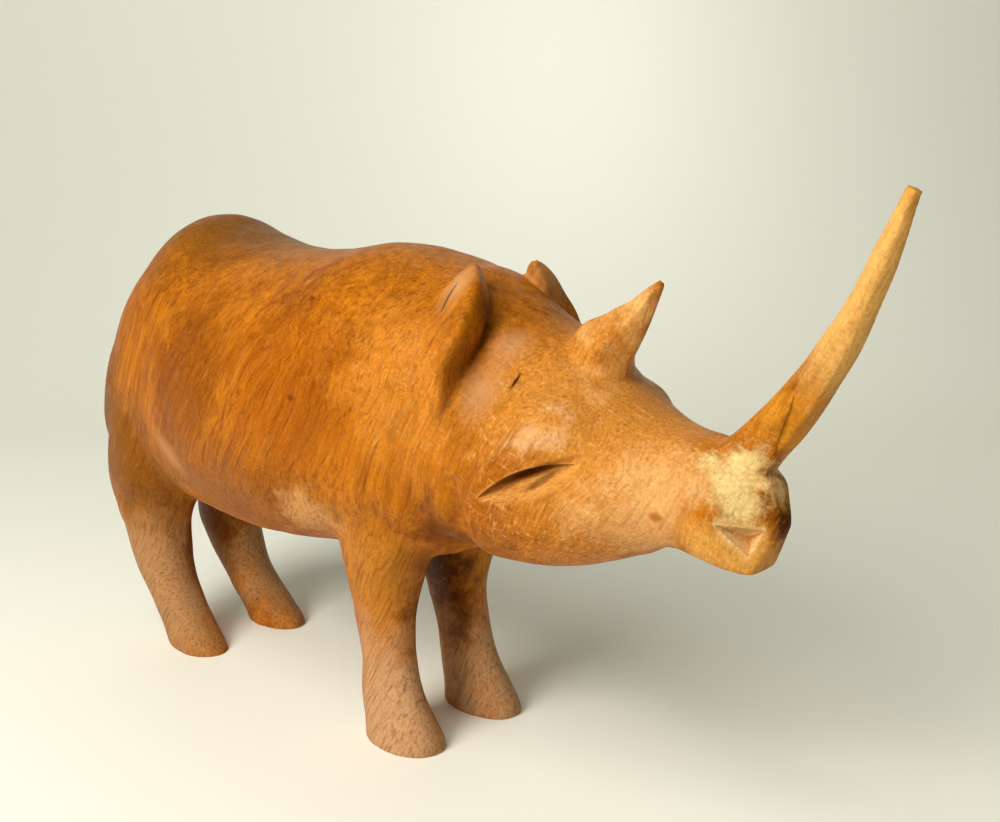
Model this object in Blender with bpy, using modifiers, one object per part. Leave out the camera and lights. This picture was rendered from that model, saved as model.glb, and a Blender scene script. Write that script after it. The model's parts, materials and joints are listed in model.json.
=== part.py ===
"""A rhinoceros carved from one block of hardwood, standing on its four feet.

The figure's one driving dimension is its height at the withers. Every place and size of the
carving is a share of that height: the tables below count in 170ths of it, so a figure 170 mm
tall has them in millimetres. X runs forward from the back of the rear feet, Y to the animal's
left and Z up from the ground. The finished solid stands with the middle of its box on the origin.
"""

import bmesh
import bpy
import numpy as np
from mathutils import Matrix

WITHERS_HEIGHT = 0.165
SHARES_PER_HEIGHT = 170
SHARE = WITHERS_HEIGHT / SHARES_PER_HEIGHT

WOOD_COLOUR = (0.46, 0.15, 0.015, 1.0)
WOOD_ROUGHNESS = 0.42

# How finely the skins are drawn, and how the roughed-out block is cut and rubbed down.
RING_SIDES = 48
RINGS_PER_STATION = 6
ROUGH_VOXEL = 1.5
FINE_VOXEL = 1.0
RUBBING = 0.5
FLANK_RUBS = 16
EDGE_RUBS = 3
ROOT_RUBS = 20
MOST_TRIANGLES = 9400

# How square the cross-sections are: 1 is an ellipse, and less is squarer.
BODY_SQUARENESS = 0.92
LEG_SQUARENESS = 0.94
EAR_SQUARENESS = 0.55

# How far an ear's leaf turns from the line of the body, as the tangent of the angle: out if positive.
EAR_TURN = 0.1

# How much thicker an ear is at its front edge than in the middle, as a share of its thickness.
EAR_TAPER = 0.45

# Where the hollow of the far ear lies from where the near one's would be, seen in a mirror.
FAR_HOLLOW_SHIFT = (-4.6, -3, 0)

# Trunk and head: x, underside, top, half width, share of the height at which it is widest.
TRUNK = (
    (-46, 102, 106, 0.5, 0.5),
    (-41.5, 77, 118, 19, 0.48),
    (-28, 63, 136, 32.5, 0.45),
    (-5, 59.5, 164, 39.5, 0.43),
    (16, 59.5, 176, 42, 0.42),
    (36, 59, 170.5, 45.5, 0.42),
    (57, 59, 166.3, 48, 0.42),
    (90, 61, 165.8, 49, 0.42),
    (118, 65.5, 169.6, 46, 0.44),
    (138, 66, 167.6, 42, 0.46),
    (154, 70, 163.9, 38.3, 0.46),
    (168, 84, 153, 30, 0.47),
    (177, 108, 118, 0.5, 0.5),
)
HEAD = (
    (128, 112, 156, 26, 0.5),
    (140, 96, 161, 34, 0.48),
    (155, 79, 163.2, 37.5, 0.46),
    (170, 74, 158.3, 36, 0.44),
    (185, 73.5, 150.7, 34, 0.43),
    (200, 75.3, 144.2, 31, 0.44),
    (214, 80, 134.7, 26, 0.46),
    (226, 85, 127.4, 21.7, 0.48),
    (237, 89.2, 123.6, 17.8, 0.5),
    (248, 87.6, 122.5, 17.2, 0.5),
    (258, 85.6, 118.5, 15, 0.46),
    (265, 86, 114.5, 11.6, 0.45),
    (271, 91, 110, 7, 0.45),
    (274, 98, 104, 0.8, 0.5),
)

# Legs, from the sole up: z, x and y of the middle, half length along x, half width along y.
FRONT_LEG = (
    (-2, 135, 16.6, 17, 11),
    (3, 134.9, 16.8, 16.5, 10.4),
    (10, 132.3, 17, 15.2, 8.9),
    (18, 129.8, 17.1, 13.4, 7.8),
    (28, 128.2, 17, 11.7, 7.5),
    (45, 126.1, 16.6, 12.6, 8.8),
    (60, 127.4, 17.2, 14.8, 12.4),
    (76, 131.3, 19.2, 18, 15),
    (95, 134, 21.5, 18.5, 15.6),
    (118, 134, 24, 16, 13),
)
REAR_LEG = (
    (-2, 12.6, 18.6, 16.2, 10),
    (3, 9.9, 19, 15.8, 9.7),
    (10, 3.2, 18.4, 14.1, 9.6),
    (18, -4.3, 18, 12.8, 9.8),
    (28, -12.1, 17.8, 13.6, 10.6),
    (45, -16.8, 17.4, 15.6, 12),
    (60, -12.2, 20.4, 19.2, 15.2),
    (78, -5.5, 22.6, 23, 17.8),
    (100, 1.7, 22.8, 23, 17.6),
    (125, 8, 22, 20, 13),
)
# How much further out the feet on the far side stand, and the height at which that has faded.
FAR_FRONT_SPLAY = 5.5
FAR_REAR_SPLAY = 2
SPLAY_HEIGHT = 60

# Horns, from the root out: x and z of the middle, half thickness in the X-Z plane, half width.
FRONT_HORN = (
    (249, 112, 9, 8),
    (255, 117, 8, 7.6),
    (261.3, 123.9, 7.2, 7),
    (272.4, 138.2, 6.3, 6.4),
    (280.8, 151.6, 5.2, 5.5),
    (287.3, 164.6, 4.3, 4.6),
    (292.3, 177, 3.2, 3.5),
    (296, 186.5, 2.5, 2.7),
    (297.6, 190.6, 2.1, 2.2),
)
REAR_HORN = (
    (203, 134, 12, 11),
    (206.5, 142, 10.4, 10.2),
    (213, 148.4, 7.8, 7.8),
    (219.3, 154.8, 4.9, 5.2),
    (224, 160.6, 2.5, 3),
    (226.4, 163.4, 1.1, 1.2),
)

# An ear: from its foot to its tip, x, y and z of the middle, half width of the leaf, half thickness.
NEAR_EAR = (
    (171.5, 34.4, 122, 1, 1),
    (171, 33.4, 128.5, 5, 3),
    (169.6, 32.4, 137, 8, 4),
    (170.2, 29.6, 144.5, 9.6, 4.3),
    (170.2, 26, 150.5, 10, 4.1),
    (168.4, 20.6, 157.5, 9.2, 3.4),
    (167.6, 16.6, 162.2, 5.6, 2.6),
    (167.3, 13.9, 165.6, 1.5, 1.1),
)
FAR_EAR = (
    (168, 31, 122, 1, 1),
    (168, 30, 128.5, 4, 3),
    (167.5, 28.6, 137, 6.4, 3.8),
    (166.4, 25.8, 144.5, 6.8, 4),
    (165.4, 22.4, 150.5, 6.4, 3.8),
    (165.8, 18, 157.5, 5.2, 3.2),
    (166.2, 15.4, 162, 3.6, 2.4),
    (166.8, 13.4, 165.2, 1.3, 1),
)

# The hollow of an ear, laid out as the ear is.
EAR_HOLLOW = (
    (171.6, 38.4, 125.6, 0.4, 0.4),
    (171, 38.2, 130, 3.8, 3),
    (169.4, 38.4, 137, 6, 3.8),
    (167.2, 36.8, 143.6, 5.4, 3.4),
    (165.8, 35.4, 148.6, 0.4, 0.4),
)

# The eye is a leaf-shaped notch: its back corner, its front corner, how far the middle of the
# leaf rises over the line between them, how far it opens, and how deep it goes under its upper edge.
EYE_BACK = (186.8, 33.2, 100.4)
EYE_FRONT = (217.7, 25, 113.9)
EYE_RISE = 0.3
EYE_OPENING = 9
EYE_DEPTH = 5
EYE_RINGS = 14
EYE_STEPS = 6
EYE_CLEAR = 9

# How the opening is shared above and below the line, how far in the deepest level lies, how full
# the leaf is towards its corners, and how thick it stays at them.
EYE_ABOVE = 0.45
EYE_DEEPEST = 0.12
EYE_FULLNESS = 0.75
EYE_END = 0.02

# The eyeball left standing in the notch: where along it and down it, its half sizes, its height.
EYEBALL = (0.47, 0.42, 0.14, 0.245, 2.2)

# The neck is filled out between trunk and head: middle and half sizes.
NECK = (154, 0, 126)
NECK_SIZE = (28, 39.6, 38.4)

# The nostril is a three-sided notch: its corners on the skin and its deepest point.
NOSTRIL_CORNERS = ((255.6, 13.3, 102.1), (265.4, 5.3, 101.1), (262.1, 7.7, 93))
NOSTRIL_FLOOR = (260.2, 3.4, 97.4)
NOSTRIL_CLEAR = 1.5

# Flats shaved on the head: a point on each, the way it faces, how softly its edges turn, and the
# middle and reach of the part of the head that it takes in.
HEAD_FLATS = (
    ((267.3, 0, 109), (0.94, 0, 0.34), 0.35, (266, 0, 108), (16, 40, 24)),
    ((266.3, 0, 95), (0.89, 0, -0.45), 0.4, (266, 0, 94), (16, 40, 20)),
    ((261, 8.9, 98.5), (0.665, 0.745, -0.05), 0.7, (261, 9, 98), (16, 18, 22)),
    ((261, -8.9, 98.5), (0.665, -0.745, -0.05), 0.7, (261, -9, 98), (16, 18, 22)),
    ((250, 0, 88.6), (-0.12, 0, -1), 0.6, (252, 0, 86), (26, 24, 14)),
)

# Flats shaved along the horns by the knife: the middle of each and its half length as shares of
# the horn, the way it faces in degrees round the horn, and its depth as a share of the thickness.
# A flat at 0 faces the animal's left, one at 90 faces back and up, and one at 180 its right.
FRONT_HORN_FLATS = (
    (0.35, 0.7, 205, 0.16),
    (0.55, 0.6, 140, 0.15),
    (0.8, 0.5, 178, 0.14),
    (0.75, 0.45, 240, 0.18),
    (0.3, 0.5, 262, 0.14),
    (0.6, 0.7, 330, 0.17),
    (0.4, 0.6, 20, 0.16),
    (0.85, 0.4, 55, 0.16),
    (0.5, 0.4, 95, 0.1),
)
REAR_HORN_FLATS = (
    (0.6, 0.8, 232, 0.26),
    (0.55, 0.7, 160, 0.2),
    (0.6, 0.8, 305, 0.22),
    (0.5, 0.7, 18, 0.18),
    (0.6, 0.6, 88, 0.16),
)
# A flat shapes only the part of a ring that faces its own way by more than this cosine.
LEAST_FACING = 0.05
# The flats start at this share of a horn's length from its root, and are full at twice that share.
FLATS_FROM_ROOT = 0.16

# Where a horn's root is rubbed until it flows into the head: middles and reaches.
SOFT_ROOTS = (
    ((206, 0, 138), (20, 17, 11)),
    ((251, 0, 118), (13, 14, 14)),
)

# Swellings raised on the skin: middle, reach and height. Those off the middle are on both sides.
SWELLINGS = (
    ((205.6, 25.4, 123.4), (19, 14, 11), 3.8),
    ((196, 26, 88), (26, 18, 16), 0.8),
    ((-16.5, 29, 53), (9, 12, 9), 1.6),
)

# Creases pressed into the skin: points along each, half width and depth. They are on both sides.
CREASES = (
    (((178, 34, 106), (176, 33, 98), (174.4, 31, 90), (172.4, 26, 82), (170, 14, 75)), 3.4, 3),
    (((192, 31, 116), (202, 29, 116.4), (212, 26.4, 117.6)), 3.4, 0.9),
    (((226, 17.5, 127), (238, 15.5, 117), (243, 16.6, 106), (240, 15, 95)), 6, 0.7),
    (((-24, 18, 66), (-21, 28, 64), (-14, 35, 62), (-6, 37, 60)), 2.2, 1.2),
)

# How far inside its ball a flat reaches full depth, and where its soft edge counts as straight.
FLAT_FULLNESS = 4
FLAT_STRAIGHT = 30

# How near to its poles a ball's first and last rings come, as a share of the quarter turn.
POLE_SHARE = 0.98


def catmull_rom(rows, per_gap):
    """Smooth rows through the given ones, with per_gap rows for each gap between two of them."""
    rows = np.array(rows, float)
    ends = np.vstack([2 * rows[0] - rows[1], rows, 2 * rows[-1] - rows[-2]])
    before, start, end, after = (ends[i : len(rows) - 1 + i] for i in range(4))
    made = [
        0.5
        * (
            2 * start
            + (end - before) * t
            + (2 * before - 5 * start + 4 * end - after) * t**2
            + (3 * start - before - 3 * end + after) * t**3
        )
        for t in np.arange(per_gap) / per_gap
    ]
    return np.vstack([np.stack(made, axis=1).reshape(-1, rows.shape[1]), rows[-1:]])


def rounded(power):
    """Cosine and sine round a ring, drawn out to a superellipse: a circle at 1, squarer below."""
    angles = 2 * np.pi * (np.arange(RING_SIDES) + 0.5) / RING_SIDES
    c, s = np.cos(angles), np.sin(angles)
    return np.sign(c) * abs(c) ** power, np.sign(s) * abs(s) ** power


def upright_rings(stations):
    """Rings across X, each with its own underside, top, half width and widest level."""
    x, low, high, half, waist = catmull_rom(stations, RINGS_PER_STATION).T[:, :, None]
    c, s = rounded(BODY_SQUARENESS)
    level = low + (high - low) * waist
    z = level + np.where(s > 0, high - level, level - low) * s
    return np.stack([x + 0 * z, half * c, z], axis=-1)


def leg_rings(stations, side, splay):
    """Level rings up a leg, on the side that side names with its sign."""
    z, x, y, half_length, half_width = catmull_rom(stations, RINGS_PER_STATION).T[:, :, None]
    c, s = rounded(LEG_SQUARENESS)
    out = y + splay * np.clip(1 - z / SPLAY_HEIGHT, 0, 1)
    return np.stack([x + half_length * c, side * out + half_width * s, z + 0 * c], axis=-1)


def tube_rings(middles, wide_axis, halves_wide, halves_thick, power, taper=0.0):
    """Rings square to the line through middles, with their width as near to wide_axis as can be.

    A taper makes them thicker towards wide_axis, and thinner away from it.
    """
    along = np.gradient(middles, axis=0)
    along /= np.linalg.norm(along, axis=1, keepdims=True)
    wide = wide_axis - along * (along @ wide_axis)[:, None]
    wide /= np.linalg.norm(wide, axis=1, keepdims=True)
    thick = np.cross(along, wide)
    c, s = rounded(power)
    s = s * (1 + taper * c)
    across = wide[:, None] * (halves_wide[:, None] * c)[..., None]
    return middles[:, None] + across + thick[:, None] * (halves_thick[:, None] * s)[..., None]


def flat_shares(flats, count):
    """How near to its middle line each of count round rings comes, by angle, once its flats are cut."""
    angles = 2 * np.pi * (np.arange(RING_SIDES) + 0.5) / RING_SIDES
    along = np.linspace(0, 1, count)[:, None]
    shares = np.ones((count, RING_SIDES))
    for middle, half_length, degrees, depth in flats:
        fade = np.clip(1 - ((along - middle) / half_length) ** 2, 0, 1)
        fade *= np.clip(along / FLATS_FROM_ROOT - 1, 0, 1)
        facing = np.cos(angles - np.radians(degrees))
        cut = (1 - depth * fade) / np.maximum(facing, LEAST_FACING)
        shares = np.minimum(shares, cut)
    return shares


def horn_rings(stations, flats):
    x, z, thick, wide = catmull_rom(stations, RINGS_PER_STATION).T
    middles = np.stack([x, 0 * x, z], axis=1)
    rings = tube_rings(middles, np.array([0.0, 1, 0]), wide, thick, 1.0)
    shares = flat_shares(flats, len(rings))[..., None]
    return middles[:, None] + (rings - middles[:, None]) * shares


def ear_rings(stations, side, shift=(0, 0, 0)):
    x, y, z, wide, thick = catmull_rom(stations, RINGS_PER_STATION).T
    middles = np.stack([x, y, z], axis=1)
    rings = tube_rings(middles, np.array([1.0, EAR_TURN, 0]), wide, thick, EAR_SQUARENESS, EAR_TAPER)
    return (rings + np.array(shift)) * (1, side, 1)


def eye_rings(side):
    """Rings along the eye: a steep upper wall, and a sloping lower side with the eyeball left on it."""
    back, front = np.array(EYE_BACK, float), np.array(EYE_FRONT, float)
    along = (front - back) / np.linalg.norm(front - back)
    outward = np.cross(along, (0, 0, 1))
    outward *= np.sign(outward[1]) / np.linalg.norm(outward)
    up = np.cross(outward, along)
    up *= np.sign(up[2])
    ball_share, ball_step, ball_length, ball_height, ball_rise = EYEBALL
    rings = []
    for share in np.linspace(0, 1, EYE_RINGS):
        swell = np.sin(np.pi * share) ** EYE_FULLNESS + EYE_END
        middle = back + (front - back) * share + up * EYE_RISE * swell
        upper = middle + up * EYE_OPENING * EYE_ABOVE * swell
        lower = middle - up * EYE_OPENING * (1 - EYE_ABOVE) * swell
        floor = upper - up * EYE_OPENING * EYE_DEEPEST * swell - outward * EYE_DEPTH * swell
        ring = [upper + outward * EYE_CLEAR]
        for step in np.linspace(0, 1, EYE_STEPS):
            off = ((share - ball_share) / ball_length) ** 2 + ((step - ball_step) / ball_height) ** 2
            ball = ball_rise * np.exp(-off)
            ring.append(floor + (lower - floor) * step + outward * ball * swell)
        ring.append(lower + outward * EYE_CLEAR)
        rings.append([point * (1, side, 1) for point in ring])
    return np.array(rings)


def nostril_points(side):
    """A pyramid whose open side stands clear of the skin."""
    corners = np.array(NOSTRIL_CORNERS, float)
    floor = np.array(NOSTRIL_FLOOR, float)
    clear = corners + (corners - floor) * NOSTRIL_CLEAR
    return np.vstack([clear, floor]) * (1, side, 1)


def ball_rings(middle, size):
    """Rings round a ball with the given middle and half sizes."""
    latitudes = np.linspace(-1, 1, RING_SIDES // 2) * np.pi / 2 * POLE_SHARE
    angles = 2 * np.pi * np.arange(RING_SIDES) / RING_SIDES
    c, s = np.cos(angles), np.sin(angles)
    reach, level = np.cos(latitudes)[:, None], np.sin(latitudes)[:, None]
    unit = np.stack([reach * c, reach * s, level + 0 * c], axis=-1)
    return unit * np.array(size, float) + np.array(middle, float)


def closed_from_rings(rings):
    """Points and faces of a closed skin over the rings, each end closed by a fan."""
    count, sides = rings.shape[:2]
    points = np.vstack([rings.reshape(-1, 3), [rings[0].mean(axis=0), rings[-1].mean(axis=0)]])
    faces = []
    for ring in range(count - 1):
        for side in range(sides):
            after = (side + 1) % sides
            low, high = ring * sides, (ring + 1) * sides
            faces.append((low + side, low + after, high + after, high + side))
    last = (count - 1) * sides
    for side in range(sides):
        after = (side + 1) % sides
        faces.append((count * sides, after, side))
        faces.append((count * sides + 1, last + side, last + after))
    return points, faces


def mesh_object(name, skins, collection):
    """One object from closed skins, each a pair of points in shares and faces, facing outward."""
    points, faces = [], []
    for more_points, more_faces in skins:
        start = len(points)
        points.extend(tuple(point) for point in np.asarray(more_points) * SHARE)
        faces.extend(tuple(start + int(corner) for corner in face) for face in more_faces)
    mesh = bpy.data.meshes.new(name)
    mesh.from_pydata(points, [], faces)
    shape = bmesh.new()
    shape.from_mesh(mesh)
    bmesh.ops.recalc_face_normals(shape, faces=shape.faces)
    shape.to_mesh(mesh)
    shape.free()
    made = bpy.data.objects.new(name, mesh)
    collection.objects.link(made)
    return made


def tool_object(name, skins, collection):
    """An object that shapes another one and is not itself part of the figure."""
    made = mesh_object(name, skins, collection)
    made.hide_render = True
    made.display_type = "WIRE"
    return made


def add_remesh(carving, voxel):
    step = carving.modifiers.new("one_skin", "REMESH")
    step.mode = "VOXEL"
    step.voxel_size = voxel * SHARE


def add_rubbing(carving, rubs):
    step = carving.modifiers.new("rubbed_down", "SMOOTH")
    step.factor = RUBBING
    step.iterations = round(rubs)


def add_boolean(carving, tool, operation):
    step = carving.modifiers.new(tool.name, "BOOLEAN")
    step.operation = operation
    step.solver = "EXACT"
    step.object = tool


def evaluated_mesh(carving):
    """The mesh that the modifiers make, with its faces as triangles."""
    graph = bpy.context.evaluated_depsgraph_get()
    mesh = bpy.data.meshes.new_from_object(carving.evaluated_get(graph))
    shape = bmesh.new()
    shape.from_mesh(mesh)
    bmesh.ops.triangulate(shape, faces=shape.faces)
    shape.to_mesh(mesh)
    shape.free()
    return mesh


def take_up(carving):
    """Replace the object's mesh and modifiers by the mesh that they make."""
    mesh = evaluated_mesh(carving)
    carving.modifiers.clear()
    carving.data = mesh


def join(carving, other):
    """Add the other object's mesh to the carving's."""
    shape = bmesh.new()
    shape.from_mesh(carving.data)
    shape.from_mesh(other.data)
    shape.to_mesh(carving.data)
    shape.free()


def mesh_points(mesh):
    """The mesh's points, in shares."""
    flat = np.empty(len(mesh.vertices) * 3)
    mesh.vertices.foreach_get("co", flat)
    return flat.reshape(-1, 3) / SHARE


def mesh_facings(mesh):
    """The way that the skin faces at each point."""
    flat = np.empty(len(mesh.vertices) * 3)
    mesh.vertices.foreach_get("normal", flat)
    return flat.reshape(-1, 3)


def set_mesh_points(mesh, points):
    mesh.vertices.foreach_set("co", (points * SHARE).ravel())
    mesh.update()


def within(points, middle, reach):
    """A soft weight: 1 in the middle of a ball with the given half sizes, and 0 outside it."""
    distance = (((points - np.array(middle)) / np.array(reach)) ** 2).sum(axis=1)
    return np.clip(1 - distance, 0, 1) ** 2


def shave(points, through, facing, softness, middle, reach):
    """Flatten what stands beyond a plane, as a knife does, within a ball round the middle."""
    facing = np.array(facing, float) / np.linalg.norm(facing)
    beyond = (points - np.array(through)) @ facing / softness
    over = softness * np.log1p(np.exp(np.clip(beyond, -FLAT_STRAIGHT, FLAT_STRAIGHT)))
    over = np.where(beyond > FLAT_STRAIGHT, beyond * softness, over)
    weight = np.minimum(1, FLAT_FULLNESS * within(points, middle, reach))
    return points - facing * (over * weight)[:, None]


def distance_to_line(points, line):
    """How far each point is from a line of straight pieces, and how far along the line it is, from 0 to 1."""
    best = np.full(len(points), np.inf)
    share = np.zeros(len(points))
    line = np.array(line, float)
    for number, (start, end) in enumerate(zip(line[:-1], line[1:])):
        run = end - start
        along = np.clip((points - start) @ run / (run @ run), 0, 1)
        distance = np.linalg.norm(points - start - along[:, None] * run, axis=1)
        nearer = distance < best
        best[nearer] = distance[nearer]
        share[nearer] = (number + along[nearer]) / (len(line) - 1)
    return best, share


def press_crease(points, facings, line, half_width, depth):
    """Press a soft groove into the skin along a line, dying out at the line's ends."""
    distance, share = distance_to_line(points, line)
    profile = np.exp(-((distance / half_width) ** 2)) * np.sqrt(np.sin(np.pi * share))
    return points - facings * (profile * depth)[:, None]


def mirrored(place):
    return (place[0], -place[1], place[2])


def shape_skin(carving):
    """Raise the swellings, press the creases and shave the flats."""
    facings = mesh_facings(carving.data)
    points = mesh_points(carving.data)
    for middle, reach, height in SWELLINGS:
        for place in (middle, mirrored(middle)):
            points = points + facings * (within(points, place, reach) * height)[:, None]
    for line, half_width, depth in CREASES:
        for places in (line, [mirrored(place) for place in line]):
            points = press_crease(points, facings, places, half_width, depth)
    for flat in HEAD_FLATS:
        points = shave(points, *flat)
    set_mesh_points(carving.data, points)


def rough_out(collection):
    """The trunk, neck, head and legs as one smooth skin."""
    many_rings = [upright_rings(TRUNK), upright_rings(HEAD), ball_rings(NECK, NECK_SIZE)]
    for side, front_splay, rear_splay in ((-1, 0, 0), (1, FAR_FRONT_SPLAY, FAR_REAR_SPLAY)):
        many_rings.append(leg_rings(FRONT_LEG, side, front_splay))
        many_rings.append(leg_rings(REAR_LEG, side, rear_splay))
    skins = [closed_from_rings(rings) for rings in many_rings]
    carving = mesh_object("rhinoceros_figure", skins, collection)
    add_remesh(carving, ROUGH_VOXEL)
    add_rubbing(carving, FLANK_RUBS)
    take_up(carving)
    return carving


def soften_roots(carving):
    """Rub the joins of the horns with the head until they flow into it."""
    points = mesh_points(carving.data)
    soft = np.zeros(len(points))
    for middle, reach in SOFT_ROOTS:
        soft = np.maximum(soft, within(points, middle, reach))
    group = carving.vertex_groups.new(name="roots")
    for index in np.flatnonzero(soft > 0):
        group.add([int(index)], float(soft[index]), "REPLACE")
    add_rubbing(carving, ROOT_RUBS)
    carving.modifiers[-1].vertex_group = group.name
    take_up(carving)
    carving.vertex_groups.clear()


def raised_features(collection):
    """The horns and ears, which stand up from the skin."""
    many_rings = [horn_rings(FRONT_HORN, FRONT_HORN_FLATS), horn_rings(REAR_HORN, REAR_HORN_FLATS)]
    many_rings += [ear_rings(NEAR_EAR, -1), ear_rings(FAR_EAR, 1)]
    skins = [closed_from_rings(rings) for rings in many_rings]
    return tool_object("horns_and_ears", skins, collection)


def notches(collection):
    """The eyes, nostrils and hollows of the ears, which are cut in."""
    skins = []
    for side, shift in ((-1, (0, 0, 0)), (1, FAR_HOLLOW_SHIFT)):
        skins.append(closed_from_rings(eye_rings(side)))
        skins.append((nostril_points(side), ((0, 1, 2), (0, 3, 1), (1, 3, 2), (2, 3, 0))))
        skins.append(closed_from_rings(ear_rings(EAR_HOLLOW, side, shift)))
    return tool_object("eyes_nostrils_and_ear_hollows", skins, collection)


def ground_block(collection):
    """A block under Z = 0, which trims the four soles level."""
    reach = SHARES_PER_HEIGHT * 2
    corners = [(x, y, z) for z in (-reach, 0) for y in (-reach, reach) for x in (-reach, reach)]
    faces = ((0, 2, 3, 1), (4, 5, 7, 6), (0, 1, 5, 4), (2, 6, 7, 3), (0, 4, 6, 2), (1, 3, 7, 5))
    return tool_object("ground", [(corners, faces)], collection)


def wood_material():
    wood = bpy.data.materials.new("wood")
    wood.use_nodes = True
    shader = wood.node_tree.nodes["Principled BSDF"]
    shader.inputs["Base Color"].default_value = WOOD_COLOUR
    shader.inputs["Roughness"].default_value = WOOD_ROUGHNESS
    shader.inputs["Metallic"].default_value = 0.0
    return wood


def stand_on_origin(mesh):
    """Move the mesh so that the middle of the bottom of its box is the origin."""
    points = mesh_points(mesh) * SHARE
    low, high = points.min(axis=0), points.max(axis=0)
    middle = (low + high) / 2
    mesh.transform(Matrix.Translation((-middle[0], -middle[1], -low[2])))


def main():
    for thing in list(bpy.data.objects):
        bpy.data.objects.remove(thing, do_unlink=True)
    figure = bpy.data.collections.new("rhinoceros")
    tools = bpy.data.collections.new("carving_tools")
    tools.hide_render = True
    for collection in (figure, tools):
        bpy.context.scene.collection.children.link(collection)

    carving = rough_out(figure)
    shape_skin(carving)
    join(carving, raised_features(tools))
    add_remesh(carving, FINE_VOXEL)
    add_rubbing(carving, EDGE_RUBS)
    take_up(carving)
    soften_roots(carving)
    add_boolean(carving, notches(tools), "DIFFERENCE")
    take_up(carving)

    fewer = carving.modifiers.new("fewer_faces", "DECIMATE")
    fewer.ratio = min(1, MOST_TRIANGLES / len(carving.data.polygons))
    add_boolean(carving, ground_block(tools), "DIFFERENCE")
    take_up(carving)
    stand_on_origin(carving.data)
    carving.data.name = "rhinoceros_figure"
    carving.data.materials.clear()
    carving.data.materials.append(wood_material())


main()
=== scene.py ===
"""Looks of the carved rhinoceros: its finer carving, its wood, and the floor, light and camera.

The carving is laid out as its solid is, in shares: 170 of them are the height at the withers.
X runs forward, Y to the animal's left and Z up. The near side, towards the camera, is -Y.
"""

import json
import math

import bmesh
import bpy
import numpy as np
from mathutils import Matrix, Vector, noise
from mathutils.bvhtree import BVHTree

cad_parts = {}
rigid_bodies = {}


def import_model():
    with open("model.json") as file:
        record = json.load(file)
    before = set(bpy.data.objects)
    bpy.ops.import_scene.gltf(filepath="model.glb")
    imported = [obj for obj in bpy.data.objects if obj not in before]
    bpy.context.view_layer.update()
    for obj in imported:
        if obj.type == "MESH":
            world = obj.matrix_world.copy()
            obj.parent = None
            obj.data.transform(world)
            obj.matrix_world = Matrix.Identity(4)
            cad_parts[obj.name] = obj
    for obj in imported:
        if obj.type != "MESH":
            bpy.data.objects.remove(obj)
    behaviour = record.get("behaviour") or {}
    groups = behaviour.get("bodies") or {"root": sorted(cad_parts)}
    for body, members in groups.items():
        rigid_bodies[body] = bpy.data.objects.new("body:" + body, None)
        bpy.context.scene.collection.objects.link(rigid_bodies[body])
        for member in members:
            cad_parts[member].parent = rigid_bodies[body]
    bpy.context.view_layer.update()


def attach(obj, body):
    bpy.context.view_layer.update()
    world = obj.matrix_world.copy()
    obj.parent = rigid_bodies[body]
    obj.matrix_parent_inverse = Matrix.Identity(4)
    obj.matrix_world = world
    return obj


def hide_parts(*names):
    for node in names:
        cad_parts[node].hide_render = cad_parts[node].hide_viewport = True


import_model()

WITHERS_HEIGHT = 0.165
SHARES_PER_HEIGHT = 170
SHARE = WITHERS_HEIGHT / SHARES_PER_HEIGHT

# How finely the skins are drawn, and how the roughed-out block is cut and rubbed down.
RING_SIDES = 64
RINGS_PER_STATION = 8
ROUGH_VOXEL = 1.2
FINE_VOXEL = 0.8
RUBBING = 0.5
FLANK_RUBS = 24
EDGE_RUBS = 3
ROOT_RUBS = 30
MOST_TRIANGLES = 190000
SHARP_EDGE_DEGREES = 38

# How square the cross-sections are: 1 is an ellipse, and less is squarer.
BODY_SQUARENESS = 0.92
LEG_SQUARENESS = 0.94
EAR_SQUARENESS = 0.55

# How far an ear's leaf turns from the line of the body, as the tangent of the angle: out if positive.
EAR_TURN = 0.1

# How much thicker an ear is at its front edge than in the middle, as a share of its thickness.
EAR_TAPER = 0.45

# Where the hollow of the far ear lies from where the near one's would be, seen in a mirror.
FAR_HOLLOW_SHIFT = (-4.6, -3, 0)

# Trunk and head: x, underside, top, half width, share of the height at which it is widest.
TRUNK = (
    (-46, 102, 106, 0.5, 0.5),
    (-41.5, 77, 118, 19, 0.48),
    (-28, 63, 136, 32.5, 0.45),
    (-5, 59.5, 164, 39.5, 0.43),
    (16, 59.5, 176, 42, 0.42),
    (36, 59, 170.5, 45.5, 0.42),
    (57, 59, 166.3, 48, 0.42),
    (90, 61, 165.8, 49, 0.42),
    (118, 65.5, 169.6, 46, 0.44),
    (138, 66, 167.6, 42, 0.46),
    (154, 70, 163.9, 38.3, 0.46),
    (168, 84, 153, 30, 0.47),
    (177, 108, 118, 0.5, 0.5),
)
HEAD = (
    (128, 112, 156, 26, 0.5),
    (140, 96, 161, 34, 0.48),
    (155, 79, 163.2, 37.5, 0.46),
    (170, 74, 158.3, 36, 0.44),
    (185, 73.5, 150.7, 34, 0.43),
    (200, 75.3, 144.2, 31, 0.44),
    (214, 80, 134.7, 26, 0.46),
    (226, 85, 127.4, 21.7, 0.48),
    (237, 89.2, 123.6, 17.8, 0.5),
    (248, 87.6, 122.5, 17.2, 0.5),
    (258, 85.6, 118.5, 15, 0.46),
    (265, 86, 114.5, 11.6, 0.45),
    (271, 91, 110, 7, 0.45),
    (274, 98, 104, 0.8, 0.5),
)

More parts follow.
